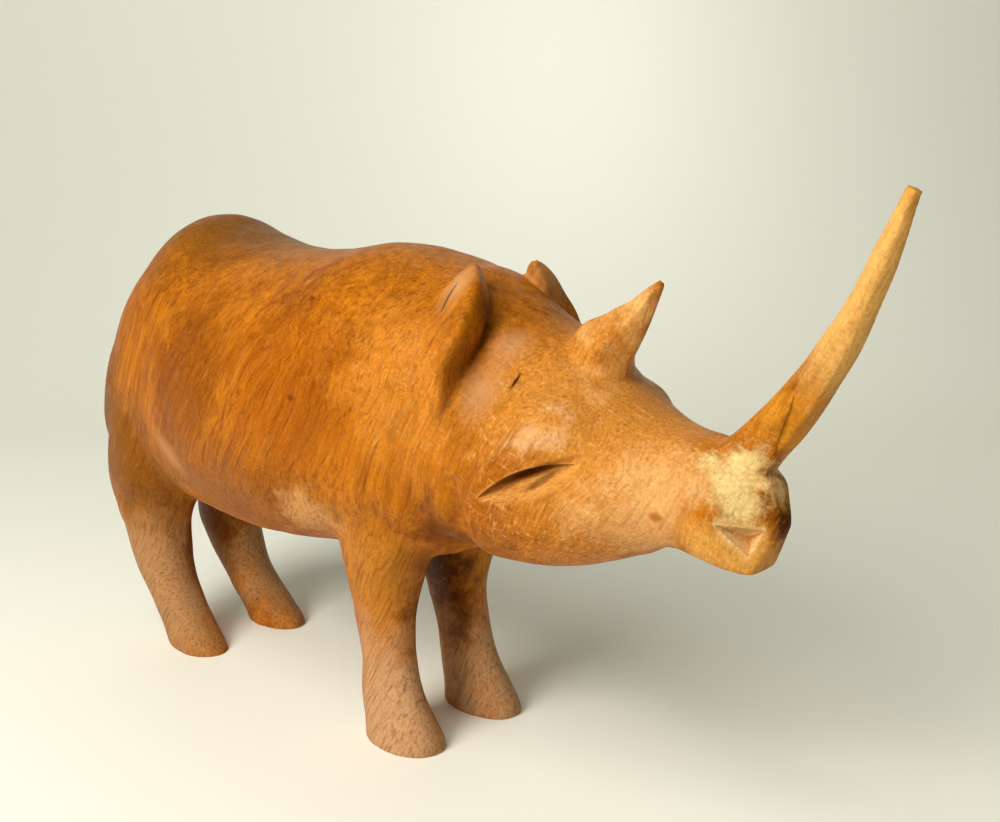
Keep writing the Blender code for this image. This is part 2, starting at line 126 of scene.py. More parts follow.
# Legs, from the sole up: z, x and y of the middle, half length along x, half width along y.
FRONT_LEG = (
    (-2, 135, 16.6, 17, 11),
    (3, 134.9, 16.8, 16.5, 10.4),
    (10, 132.3, 17, 15.2, 8.9),
    (18, 129.8, 17.1, 13.4, 7.8),
    (28, 128.2, 17, 11.7, 7.5),
    (45, 126.1, 16.6, 12.6, 8.8),
    (60, 127.4, 17.2, 14.8, 12.4),
    (76, 131.3, 19.2, 18, 15),
    (95, 134, 21.5, 18.5, 15.6),
    (118, 134, 24, 16, 13),
)
REAR_LEG = (
    (-2, 12.6, 18.6, 16.2, 10),
    (3, 9.9, 19, 15.8, 9.7),
    (10, 3.2, 18.4, 14.1, 9.6),
    (18, -4.3, 18, 12.8, 9.8),
    (28, -12.1, 17.8, 13.6, 10.6),
    (45, -16.8, 17.4, 15.6, 12),
    (60, -12.2, 20.4, 19.2, 15.2),
    (78, -5.5, 22.6, 23, 17.8),
    (100, 1.7, 22.8, 23, 17.6),
    (125, 8, 22, 20, 13),
)
# How much further out the feet on the far side stand, and the height at which that has faded.
FAR_FRONT_SPLAY = 5.5
FAR_REAR_SPLAY = 2
SPLAY_HEIGHT = 60

# Horns, from the root out: x and z of the middle, half thickness in the X-Z plane, half width.
FRONT_HORN = (
    (249, 112, 9, 8),
    (255, 117, 8, 7.6),
    (261.3, 123.9, 7.2, 7),
    (272.4, 138.2, 6.3, 6.4),
    (280.8, 151.6, 5.2, 5.5),
    (287.3, 164.6, 4.3, 4.6),
    (292.3, 177, 3.2, 3.5),
    (296, 186.5, 2.5, 2.7),
    (297.6, 190.6, 2.1, 2.2),
)
REAR_HORN = (
    (203, 134, 12, 11),
    (206.5, 142, 10.4, 10.2),
    (213, 148.4, 7.8, 7.8),
    (219.3, 154.8, 4.9, 5.2),
    (224, 160.6, 2.5, 3),
    (226.4, 163.4, 1.1, 1.2),
)

# An ear: from its foot to its tip, x, y and z of the middle, half width of the leaf, half thickness.
NEAR_EAR = (
    (171.5, 34.4, 122, 1, 1),
    (171, 33.4, 128.5, 5, 3),
    (169.6, 32.4, 137, 8, 4),
    (170.2, 29.6, 144.5, 9.6, 4.3),
    (170.2, 26, 150.5, 10, 4.1),
    (168.4, 20.6, 157.5, 9.2, 3.4),
    (167.6, 16.6, 162.2, 5.6, 2.6),
    (167.3, 13.9, 165.6, 1.5, 1.1),
)
FAR_EAR = (
    (168, 31, 122, 1, 1),
    (168, 30, 128.5, 4, 3),
    (167.5, 28.6, 137, 6.4, 3.8),
    (166.4, 25.8, 144.5, 6.8, 4),
    (165.4, 22.4, 150.5, 6.4, 3.8),
    (165.8, 18, 157.5, 5.2, 3.2),
    (166.2, 15.4, 162, 3.6, 2.4),
    (166.8, 13.4, 165.2, 1.3, 1),
)

# The hollow of an ear, laid out as the ear is.
EAR_HOLLOW = (
    (171.6, 38.4, 125.6, 0.4, 0.4),
    (171, 38.2, 130, 3.8, 3),
    (169.4, 38.4, 137, 6, 3.8),
    (167.2, 36.8, 143.6, 5.4, 3.4),
    (165.8, 35.4, 148.6, 0.4, 0.4),
)

# The eye is a leaf-shaped notch: its back corner, its front corner, how far the middle of the
# leaf rises over the line between them, how far it opens, and how deep it goes under its upper edge.
EYE_BACK = (186.8, 33.2, 100.4)
EYE_FRONT = (217.7, 25, 113.9)
EYE_RISE = 0.3
EYE_OPENING = 9
EYE_DEPTH = 5
EYE_RINGS = 40
EYE_STEPS = 12
EYE_CLEAR = 9

# How the opening is shared above and below the line, how far in the deepest level lies, how full
# the leaf is towards its corners, and how thick it stays at them.
EYE_ABOVE = 0.45
EYE_DEEPEST = 0.12
EYE_FULLNESS = 0.75
EYE_END = 0.02

# The eyeball left standing in the notch: where along it and down it, its half sizes, its height.
EYEBALL = (0.47, 0.42, 0.14, 0.245, 2.2)

# How rough the knife left the lower side of the eye. Its cuts are a wave: so many half waves along
# the eye, so many radians down it, and so many radians of lean.
EYE_ROUGHNESS = 0.45
EYE_CUTS_ALONG = 17
EYE_CUTS_DOWN = 10
EYE_CUTS_LEAN = 3

# The neck is filled out between trunk and head: middle and half sizes.
NECK = (154, 0, 126)
NECK_SIZE = (28, 39.6, 38.4)

# The nostril is a three-sided notch: its corners on the skin and its deepest point.
NOSTRIL_CORNERS = ((255.6, 13.3, 102.1), (265.4, 5.3, 101.1), (262.1, 7.7, 93))
NOSTRIL_FLOOR = (260.2, 3.4, 97.4)
NOSTRIL_CLEAR = 1.5

# Flats shaved on the head: a point on each, the way it faces, how softly its edges turn, and the
# middle and reach of the part of the head that it takes in.
HEAD_FLATS = (
    ((267.3, 0, 109), (0.94, 0, 0.34), 0.35, (266, 0, 108), (16, 40, 24)),
    ((266.3, 0, 95), (0.89, 0, -0.45), 0.4, (266, 0, 94), (16, 40, 20)),
    ((261, 8.9, 98.5), (0.665, 0.745, -0.05), 0.7, (261, 9, 98), (16, 18, 22)),
    ((261, -8.9, 98.5), (0.665, -0.745, -0.05), 0.7, (261, -9, 98), (16, 18, 22)),
    ((250, 0, 88.6), (-0.12, 0, -1), 0.6, (252, 0, 86), (26, 24, 14)),
)

# Flats shaved along the horns by the knife: the middle of each and its half length as shares of
# the horn, the way it faces in degrees round the horn, and its depth as a share of the thickness.
# A flat at 0 faces the animal's left, one at 90 faces back and up, and one at 180 its right.
FRONT_HORN_FLATS = (
    (0.35, 0.7, 205, 0.16),
    (0.55, 0.6, 140, 0.15),
    (0.8, 0.5, 178, 0.14),
    (0.75, 0.45, 240, 0.18),
    (0.3, 0.5, 262, 0.14),
    (0.6, 0.7, 330, 0.17),
    (0.4, 0.6, 20, 0.16),
    (0.85, 0.4, 55, 0.16),
    (0.5, 0.4, 95, 0.1),
)
REAR_HORN_FLATS = (
    (0.6, 0.8, 232, 0.26),
    (0.55, 0.7, 160, 0.2),
    (0.6, 0.8, 305, 0.22),
    (0.5, 0.7, 18, 0.18),
    (0.6, 0.6, 88, 0.16),
)
# A flat shapes only the part of a ring that faces its own way by more than this cosine.
LEAST_FACING = 0.05
# The flats start at this share of a horn's length from its root, and are full at twice that share.
FLATS_FROM_ROOT = 0.16

# Where a horn's root is rubbed until it flows into the head: middles and reaches.
SOFT_ROOTS = (
    ((206, 0, 138), (20, 17, 11)),
    ((251, 0, 118), (13, 14, 14)),
)
# Unevenness of the blade: wavelengths and heights.
TREMBLES = ((17, 0.55), (7, 0.16))

# Thin cracks and knife slips: points along each on the skin, which way the skin faces there, half
# width and depth. They are on the near side only.
NECK_CRACK = ((193.9, -22.7, 136.8), (193.6, -24.3, 134.9), (193, -26, 132.7))
FRONT_HORN_CRACK = (
    (272.2, -6, 138.5),
    (271.7, -6.2, 135),
    (270, -6, 130.3),
    (267.9, -5.4, 124.5),
    (266.2, -3.6, 119.8),
)
EAR_CRACK = ((167.4, -20.5, 160.4), (167, -24, 156.6), (167.4, -27.4, 152.8))
REAR_HORN_CRACK = ((218, -1, 143.2), (218.6, -4, 142), (218, -7, 140.6))
CRACKS = (
    (NECK_CRACK, (0.3, -0.8, 0.5), 0.35, 1.6),
    (FRONT_HORN_CRACK, (0.6, -0.8, 0), 0.22, 1.4),
    (EAR_CRACK, (-0.1, -0.95, 0.3), 0.3, 1.5),
    (REAR_HORN_CRACK, (0.8, -0.5, -0.3), 0.3, 1.2),
)
# How far a crack's tool stands clear of the skin, how full it is towards its ends, and how thick there.
CRACK_CLEAR = 3
CRACK_FULLNESS = 0.6
CRACK_END = 0.02
# How near to a tool's skin a point counts as cut by it.
CUT_NEAR = 0.15

# Swellings raised on the skin: middle, reach and height. Those off the middle are on both sides.
SWELLINGS = (
    ((205.6, 25.4, 123.4), (19, 14, 11), 3.8),
    ((196, 26, 88), (26, 18, 16), 0.8),
    ((-16.5, 29, 53), (9, 12, 9), 1.6),
)

# Creases pressed into the skin: points along each, half width and depth. They are on both sides.
CREASES = (
    (((178, 34, 106), (176, 33, 98), (174.4, 31, 90), (172.4, 26, 82), (170, 14, 75)), 3.4, 3),
    (((192, 31, 116), (202, 29, 116.4), (212, 26.4, 117.6)), 3.4, 0.9),
    (((226, 17.5, 127), (238, 15.5, 117), (243, 16.6, 106), (240, 15, 95)), 6, 0.7),
    (((-24, 18, 66), (-21, 28, 64), (-14, 35, 62), (-6, 37, 60)), 2.2, 1.2),
)

# How far inside its ball a flat reaches full depth, and where its soft edge counts as straight.
FLAT_FULLNESS = 4
FLAT_STRAIGHT = 30

# The photograph's camera, in shares and degrees.
CAMERA_PLACE = (421.4, -274.7, 197.0)
CAMERA_AZIMUTH = 43.07
CAMERA_PITCH = 11.86
CAMERA_SENSOR = 36
CAMERA_LENS = 43.2

TOOLS_NAME = "carving_tools"

# How near to its poles a ball's first and last rings lie.
POLE_SHARE = 0.98


def catmull_rom(rows, per_gap):
    """Smooth rows through the given ones, with per_gap rows for each gap between two of them."""
    rows = np.array(rows, float)
    ends = np.vstack([2 * rows[0] - rows[1], rows, 2 * rows[-1] - rows[-2]])
    before, start, end, after = (ends[i : len(rows) - 1 + i] for i in range(4))
    made = [
        0.5
        * (
            2 * start
            + (end - before) * t
            + (2 * before - 5 * start + 4 * end - after) * t**2
            + (3 * start - before - 3 * end + after) * t**3
        )
        for t in np.arange(per_gap) / per_gap
    ]
    return np.vstack([np.stack(made, axis=1).reshape(-1, rows.shape[1]), rows[-1:]])


def rounded(power):
    """Cosine and sine round a ring, drawn out to a superellipse: a circle at 1, squarer below."""
    angles = 2 * np.pi * (np.arange(RING_SIDES) + 0.5) / RING_SIDES
    c, s = np.cos(angles), np.sin(angles)
    return np.sign(c) * abs(c) ** power, np.sign(s) * abs(s) ** power


def upright_rings(stations):
    """Rings across X, each with its own underside, top, half width and widest level."""
    x, low, high, half, waist = catmull_rom(stations, RINGS_PER_STATION).T[:, :, None]
    c, s = rounded(BODY_SQUARENESS)
    level = low + (high - low) * waist
    z = level + np.where(s > 0, high - level, level - low) * s
    return np.stack([x + 0 * z, half * c, z], axis=-1)


def leg_rings(stations, side, splay):
    """Level rings up a leg, on the side that side names with its sign."""
    z, x, y, half_length, half_width = catmull_rom(stations, RINGS_PER_STATION).T[:, :, None]
    c, s = rounded(LEG_SQUARENESS)
    out = y + splay * np.clip(1 - z / SPLAY_HEIGHT, 0, 1)
    return np.stack([x + half_length * c, side * out + half_width * s, z + 0 * c], axis=-1)


def tube_rings(middles, wide_axis, halves_wide, halves_thick, power, taper=0.0):
    """Rings square to the line through middles, with their width as near to wide_axis as can be.

    A taper makes them thicker towards wide_axis, and thinner away from it.
    """
    along = np.gradient(middles, axis=0)
    along /= np.linalg.norm(along, axis=1, keepdims=True)
    wide = wide_axis - along * (along @ wide_axis)[:, None]
    wide /= np.linalg.norm(wide, axis=1, keepdims=True)
    thick = np.cross(along, wide)
    c, s = rounded(power)
    s = s * (1 + taper * c)
    across = wide[:, None] * (halves_wide[:, None] * c)[..., None]
    return middles[:, None] + across + thick[:, None] * (halves_thick[:, None] * s)[..., None]


def flat_shares(flats, count):
    """How near to its middle line each of count round rings comes, by angle, once its flats are cut."""
    angles = 2 * np.pi * (np.arange(RING_SIDES) + 0.5) / RING_SIDES
    along = np.linspace(0, 1, count)[:, None]
    shares = np.ones((count, RING_SIDES))
    for middle, half_length, degrees, depth in flats:
        fade = np.clip(1 - ((along - middle) / half_length) ** 2, 0, 1)
        fade *= np.clip(along / FLATS_FROM_ROOT - 1, 0, 1)
        facing = np.cos(angles - math.radians(degrees))
        cut = (1 - depth * fade) / np.maximum(facing, LEAST_FACING)
        shares = np.minimum(shares, cut)
    return shares


def horn_rings(stations, flats):
    x, z, thick, wide = catmull_rom(stations, RINGS_PER_STATION).T
    middles = np.stack([x, 0 * x, z], axis=1)
    rings = tube_rings(middles, np.array([0.0, 1, 0]), wide, thick, 1.0)
    shares = flat_shares(flats, len(rings))[..., None]
    return middles[:, None] + (rings - middles[:, None]) * shares


def ear_rings(stations, side, shift=(0, 0, 0)):
    x, y, z, wide, thick = catmull_rom(stations, RINGS_PER_STATION).T
    middles = np.stack([x, y, z], axis=1)
    rings = tube_rings(middles, np.array([1.0, EAR_TURN, 0]), wide, thick, EAR_SQUARENESS, EAR_TAPER)
    return (rings + np.array(shift)) * (1, side, 1)


def eye_rings(side):
    """Rings along the eye: a steep upper wall, and a sloping lower side with the eyeball on it."""
    back, front = np.array(EYE_BACK, float), np.array(EYE_FRONT, float)
    along = (front - back) / np.linalg.norm(front - back)
    outward = np.cross(along, (0, 0, 1))
    outward *= np.sign(outward[1]) / np.linalg.norm(outward)
    up = np.cross(outward, along)
    up *= np.sign(up[2])
    ball_share, ball_step, ball_length, ball_height, ball_rise = EYEBALL
    rings = []
    for share in np.linspace(0, 1, EYE_RINGS):
        swell = np.sin(np.pi * share) ** EYE_FULLNESS + EYE_END
        middle = back + (front - back) * share + up * EYE_RISE * swell
        upper = middle + up * EYE_OPENING * EYE_ABOVE * swell
        lower = middle - up * EYE_OPENING * (1 - EYE_ABOVE) * swell
        floor = upper - up * EYE_OPENING * EYE_DEEPEST * swell - outward * EYE_DEPTH * swell
        ring = [upper + outward * EYE_CLEAR]
        for step in np.linspace(0, 1, EYE_STEPS):
            off = ((share - ball_share) / ball_length) ** 2 + ((step - ball_step) / ball_height) ** 2
            ball = ball_rise * math.exp(-off)
            cuts = math.sin(EYE_CUTS_ALONG * share * math.pi + EYE_CUTS_LEAN * step)
            cuts *= math.sin(EYE_CUTS_DOWN * step)
            raised = (ball + EYE_ROUGHNESS * cuts * step) * swell
            ring.append(floor + (lower - floor) * step + outward * raised)
        ring.append(lower + outward * EYE_CLEAR)
        rings.append([point * (1, side, 1) for point in ring])
    return np.array(rings)


def nostril_points(side):
    """A pyramid whose open side stands clear of the skin."""
    corners = np.array(NOSTRIL_CORNERS, float)
    floor = np.array(NOSTRIL_FLOOR, float)
    clear = corners + (corners - floor) * NOSTRIL_CLEAR
    return np.vstack([clear, floor]) * (1, side, 1)


def ball_rings(middle, size):
    """Rings round a ball with the given middle and half sizes."""
    latitudes = np.linspace(-1, 1, RING_SIDES // 2) * np.pi / 2 * POLE_SHARE
    angles = 2 * np.pi * np.arange(RING_SIDES) / RING_SIDES
    c, s = np.cos(angles), np.sin(angles)
    reach, level = np.cos(latitudes)[:, None], np.sin(latitudes)[:, None]
    unit = np.stack([reach * c, reach * s, level + 0 * c], axis=-1)
    return unit * np.array(size, float) + np.array(middle, float)


def closed_from_rings(rings):
    """Points and faces of a closed skin over the rings, each end closed by a fan."""
    count, sides = rings.shape[:2]
    points = np.vstack([rings.reshape(-1, 3), [rings[0].mean(axis=0), rings[-1].mean(axis=0)]])
    faces = []
    for ring in range(count - 1):
        for side in range(sides):
            after = (side + 1) % sides
            low, high = ring * sides, (ring + 1) * sides
            faces.append((low + side, low + after, high + after, high + side))
    last = (count - 1) * sides
    for side in range(sides):
        after = (side + 1) % sides
        faces.append((count * sides, after, side))
        faces.append((count * sides + 1, last + side, last + after))
    return points, faces


def mesh_object(name, skins, collection):
    """One object from closed skins, each a pair of points in shares and faces, facing outward."""
    points, faces = [], []
    for more_points, more_faces in skins:
        start = len(points)
        points.extend(tuple(point) for point in np.asarray(more_points) * SHARE)
        faces.extend(tuple(start + int(corner) for corner in face) for face in more_faces)
    mesh = bpy.data.meshes.new(name)
    mesh.from_pydata(points, [], faces)
    shape = bmesh.new()
    shape.from_mesh(mesh)
    bmesh.ops.recalc_face_normals(shape, faces=shape.faces)
    shape.to_mesh(mesh)
    shape.free()
    made = bpy.data.objects.new(name, mesh)
    collection.objects.link(made)
    return made


def tool_object(name, skins, collection):
    """An object that shapes another one and is not itself part of the figure."""
    made = mesh_object(name, skins, collection)
    made.hide_render = True
    made.display_type = "WIRE"
    return made


def add_remesh(carving, voxel):
    step = carving.modifiers.new("one_skin", "REMESH")
    step.mode = "VOXEL"
    step.voxel_size = voxel * SHARE


def add_rubbing(carving, rubs):
    step = carving.modifiers.new("rubbed_down", "SMOOTH")
    step.factor = RUBBING
    step.iterations = rubs


def add_boolean(carving, tool, operation):
    step = carving.modifiers.new(tool.name, "BOOLEAN")
    step.operation = operation
    step.solver = "EXACT"
    step.object = tool


def evaluated_mesh(carving):
    """The mesh that the modifiers make, with its faces as triangles."""
    graph = bpy.context.evaluated_depsgraph_get()
    mesh = bpy.data.meshes.new_from_object(carving.evaluated_get(graph))
    shape = bmesh.new()
    shape.from_mesh(mesh)
    bmesh.ops.triangulate(shape, faces=shape.faces)
    shape.to_mesh(mesh)
    shape.free()
    return mesh


def take_up(carving):
    """Replace the object's mesh and modifiers by the mesh that they make."""
    mesh = evaluated_mesh(carving)
    carving.modifiers.clear()
    carving.data = mesh


def join(carving, other):
    """Add the other object's mesh to the carving's."""
    shape = bmesh.new()
    shape.from_mesh(carving.data)
    shape.from_mesh(other.data)
    shape.to_mesh(carving.data)
    shape.free()


def mesh_points(mesh):
    """The mesh's points, in shares."""
    flat = np.empty(len(mesh.vertices) * 3)
    mesh.vertices.foreach_get("co", flat)
    return flat.reshape(-1, 3) / SHARE


def mesh_facings(mesh):
    """The way that the skin faces at each point."""
    flat = np.empty(len(mesh.vertices) * 3)
    mesh.vertices.foreach_get("normal", flat)
    return flat.reshape(-1, 3)


def set_mesh_points(mesh, points):
    mesh.vertices.foreach_set("co", (points * SHARE).ravel())
    mesh.update()


def within(points, middle, reach):
    """A soft weight: 1 in the middle of a ball with the given half sizes, and 0 outside it."""
    distance = (((points - np.array(middle)) / np.array(reach)) ** 2).sum(axis=1)
    return np.clip(1 - distance, 0, 1) ** 2


def shave(points, through, facing, softness, middle, reach):
    """Flatten what stands beyond a plane, as a knife does, within a ball round the middle."""
    facing = np.array(facing, float) / np.linalg.norm(facing)
    beyond = (points - np.array(through)) @ facing / softness
    over = softness * np.log1p(np.exp(np.clip(beyond, -FLAT_STRAIGHT, FLAT_STRAIGHT)))
    over = np.where(beyond > FLAT_STRAIGHT, beyond * softness, over)
    weight = np.minimum(1, FLAT_FULLNESS * within(points, middle, reach))
    return points - facing * (over * weight)[:, None]


def distance_to_line(points, line):
    """How far each point is from a line of straight pieces, and how far along it, from 0 to 1."""
    best = np.full(len(points), np.inf)
    share = np.zeros(len(points))
    line = np.array(line, float)
    for number, (start, end) in enumerate(zip(line[:-1], line[1:])):
        run = end - start
        along = np.clip((points - start) @ run / (run @ run), 0, 1)
        distance = np.linalg.norm(points - start - along[:, None] * run, axis=1)
        nearer = distance < best
        best[nearer] = distance[nearer]
        share[nearer] = (number + along[nearer]) / (len(line) - 1)
    return best, share


def press_crease(points, facings, line, half_width, depth):
    """Press a soft groove into the skin along a line, dying out at the line's ends."""
    distance, share = distance_to_line(points, line)
    profile = np.exp(-((distance / half_width) ** 2)) * np.sqrt(np.sin(np.pi * share))
    return points - facings * (profile * depth)[:, None]


def crack_rings(line, facing, half_width, depth):
    """A thin wedge along a line on the skin, widest in its middle, with its edge under the skin."""
    line = catmull_rom(line, RINGS_PER_STATION)
    facing = np.array(facing, float) / np.linalg.norm(facing)
    along = np.gradient(line, axis=0)
    beside = np.cross(along, facing)
    beside /= np.linalg.norm(beside, axis=1, keepdims=True)
    swell = (np.sin(np.pi * np.linspace(0, 1, len(line))) ** CRACK_FULLNESS + CRACK_END)[:, None]
    top = line + facing * CRACK_CLEAR
    spread = 1 + CRACK_CLEAR / depth
    half_top = beside * half_width * spread * swell
    edge = line - facing * depth * swell
    return np.stack([top + half_top, top - half_top, edge], axis=1)


def mirrored(place):
    return (place[0], -place[1], place[2])


def shape_skin(carving):
    """Raise the swellings, press the creases and shave the flats."""
    facings = mesh_facings(carving.data)
    points = mesh_points(carving.data)
    for middle, reach, height in SWELLINGS:
        for place in (middle, mirrored(middle)):
            points = points + facings * (within(points, place, reach) * height)[:, None]
    for line, half_width, depth in CREASES:
        for places in (line, [mirrored(place) for place in line]):
            points = press_crease(points, facings, places, half_width, depth)
    for flat in HEAD_FLATS:
        points = shave(points, *flat)
    set_mesh_points(carving.data, points)


def rough_out(collection):
    """The trunk, neck, head and legs as one smooth skin."""
    many_rings = [upright_rings(TRUNK), upright_rings(HEAD), ball_rings(NECK, NECK_SIZE)]
    for side, front_splay, rear_splay in ((-1, 0, 0), (1, FAR_FRONT_SPLAY, FAR_REAR_SPLAY)):
        many_rings.append(leg_rings(FRONT_LEG, side, front_splay))
        many_rings.append(leg_rings(REAR_LEG, side, rear_splay))
    skins = [closed_from_rings(rings) for rings in many_rings]
    carving = mesh_object("carved_rhinoceros", skins, collection)
    add_remesh(carving, ROUGH_VOXEL)
    add_rubbing(carving, FLANK_RUBS)
    take_up(carving)
    return carving


def soften_roots(carving):
    """Rub the joins of the horns with the head until they flow into it."""
    points = mesh_points(carving.data)
    soft = np.zeros(len(points))
    for middle, reach in SOFT_ROOTS:
        soft = np.maximum(soft, within(points, middle, reach))
    group = carving.vertex_groups.new(name="roots")
    for index in np.flatnonzero(soft > 0):
        group.add([int(index)], float(soft[index]), "REPLACE")
    add_rubbing(carving, ROOT_RUBS)
    carving.modifiers[-1].vertex_group = group.name
    take_up(carving)
    carving.vertex_groups.clear()


def tremble(carving):
    """The slight unevenness that a hand-held blade leaves."""
    points, facings = mesh_points(carving.data), mesh_facings(carving.data)
    for wavelength, height in TREMBLES:
        waves = np.array([noise.noise(Vector(place)) for place in points / wavelength])
        points = points + facings * (waves * height)[:, None]
    set_mesh_points(carving.data, points)


def raised_features(collection):
    """The horns and ears, which stand up from the skin."""
    many_rings = [horn_rings(FRONT_HORN, FRONT_HORN_FLATS), horn_rings(REAR_HORN, REAR_HORN_FLATS)]
    many_rings += [ear_rings(NEAR_EAR, -1), ear_rings(FAR_EAR, 1)]
    skins = [closed_from_rings(rings) for rings in many_rings]
    return tool_object("horns_and_ears", skins, collection)


def notches(collection):
    """The eyes, nostrils and hollows of the ears, which are cut in."""
    skins = []
    for side, shift in ((-1, (0, 0, 0)), (1, FAR_HOLLOW_SHIFT)):
        skins.append(closed_from_rings(eye_rings(side)))
        skins.append((nostril_points(side), ((0, 1, 2), (0, 3, 1), (1, 3, 2), (2, 3, 0))))
        skins.append(closed_from_rings(ear_rings(EAR_HOLLOW, side, shift)))
    return tool_object("eyes_nostrils_and_ear_hollows", skins, collection)


def cracks(collection):
    skins = [closed_from_rings(crack_rings(*crack)) for crack in CRACKS]
    return tool_object("cracks", skins, collection)


def mark_cuts(carving, tool, name):
    """Note at each point of the carving, in an attribute, whether it lies on what the tool cut."""
    skin = BVHTree.FromPolygons(
        [vertex.co.copy() for vertex in tool.data.vertices],
        [tuple(face.vertices) for face in tool.data.polygons],
    )
    near = CUT_NEAR * SHARE
    marks = [float(skin.find_nearest(vertex.co, near)[0] is not None) for vertex in carving.data.vertices]
    carving.data.attributes.new(name, "FLOAT", "POINT").data.foreach_set("value", marks)


def ground_block(collection):
    """A block under Z = 0, which trims the four soles level."""
    reach = SHARES_PER_HEIGHT * 2
    corners = [(x, y, z) for z in (-reach, 0) for y in (-reach, reach) for x in (-reach, reach)]
    faces = ((0, 2, 3, 1), (4, 5, 7, 6), (0, 1, 5, 4), (2, 6, 7, 3), (0, 4, 6, 2), (1, 3, 7, 5))
    return tool_object("ground", [(corners, faces)], collection)


def stand_on_origin(mesh):
    """Move the mesh so that the middle of the bottom of its box is the origin, and say how far it went."""
    points = mesh_points(mesh) * SHARE
    low, high = points.min(axis=0), points.max(axis=0)
    middle = (low + high) / 2
    shift = Vector((-middle[0], -middle[1], -low[2]))
    mesh.transform(Matrix.Translation(shift))
    return shift


def carve(figure, tools):
    """The whole carving, and how far it was moved from its layout to stand on the origin."""
    carving = rough_out(figure)
    shape_skin(carving)
    join(carving, raised_features(tools))
    add_remesh(carving, FINE_VOXEL)
    add_rubbing(carving, EDGE_RUBS)
    take_up(carving)
    soften_roots(carving)
    tremble(carving)
    notch_tool, crack_tool = notches(tools), cracks(tools)
    add_boolean(carving, notch_tool, "DIFFERENCE")
    add_boolean(carving, crack_tool, "DIFFERENCE")
    take_up(carving)

    fewer = carving.modifiers.new("fewer_faces", "DECIMATE")
    fewer.ratio = min(1, MOST_TRIANGLES / len(carving.data.polygons))
    add_boolean(carving, ground_block(tools), "DIFFERENCE")
    take_up(carving)
    mark_cuts(carving, notch_tool, "notched")
    mark_cuts(carving, crack_tool, "cracked")
    shift = stand_on_origin(carving.data)
    carving.data.name = carving.name
    carving.data.shade_smooth()
    carving.data.set_sharp_from_angle(angle=math.radians(SHARP_EDGE_DEGREES))
    return carving, shift


class NodePlan:
    """Writes a node material: each method adds one node and gives back its result."""

    def __init__(self, material):
        material.use_nodes = True
        self.tree = material.node_tree
        self.shader = self.tree.nodes["Principled BSDF"]

    def add(self, kind, result=0, inputs=(), **settings):
        node = self.tree.nodes.new(kind)
        for name, value in settings.items():
            setattr(node, name, value)
        for socket, value in dict(inputs).items():
            self.feed(node.inputs[socket], value)
        return node.outputs[result]

    def feed(self, socket, value):
        if isinstance(value, bpy.types.NodeSocket):
            self.tree.links.new(value, socket)
        else:
            socket.default_value = value

    def math(self, operation, first, second=0.0, clamp=False):
        return self.add(
            "ShaderNodeMath", 0, {0: first, 1: second}, operation=operation, use_clamp=clamp
        )

    def vector(self, operation, first, second=(0, 0, 0), result=0):
        return self.add("ShaderNodeVectorMath", result, {0: first, 1: second}, operation=operation)

    def mixed(self, share, first, second, blend="MIX"):
        inputs = {0: share, 6: first, 7: second}
        return self.add("ShaderNodeMix", 2, inputs, data_type="RGBA", blend_type=blend)

    def spread(self, value, low, high, to_low=0.0, to_high=1.0):
        inputs = {0: value, 1: low, 2: high, 3: to_low, 4: to_high}
        return self.add("ShaderNodeMapRange", 0, inputs, clamp=True)

    def noise(self, place, scale, detail=2.0, roughness=0.5, result=0):
        inputs = {"Vector": place, "Scale": scale, "Detail": detail, "Roughness": roughness}
        return self.add("ShaderNodeTexNoise", result, inputs)


# The way that the wood's fibres run, and the one across them that the near side shows.
FIBRE_LEAN = math.radians(28)
FIBRE_ALONG = (math.sin(FIBRE_LEAN), 0, math.cos(FIBRE_LEAN))
FIBRE_ACROSS = (math.cos(FIBRE_LEAN), 0, -math.sin(FIBRE_LEAN))

# Tones of the wood, as linear colours.
DEEP_TONE = (0.25, 0.06, 0.0)
LIGHT_TONE = (0.54, 0.165, 0.004)
STREAK_TONE = (0.1, 0.02, 0.001)
FLECK_TONE = (0.84, 0.47, 0.17)
CUT_TONE = (0.6, 0.27, 0.06)
PALE_CUT_TONE = (0.8, 0.52, 0.24)
# Painted shade, laid in the cracks, and also the dark colour of the knots.
PAINTED_SHADE_AND_KNOT_TONE = (0.045, 0.009, 0.001)
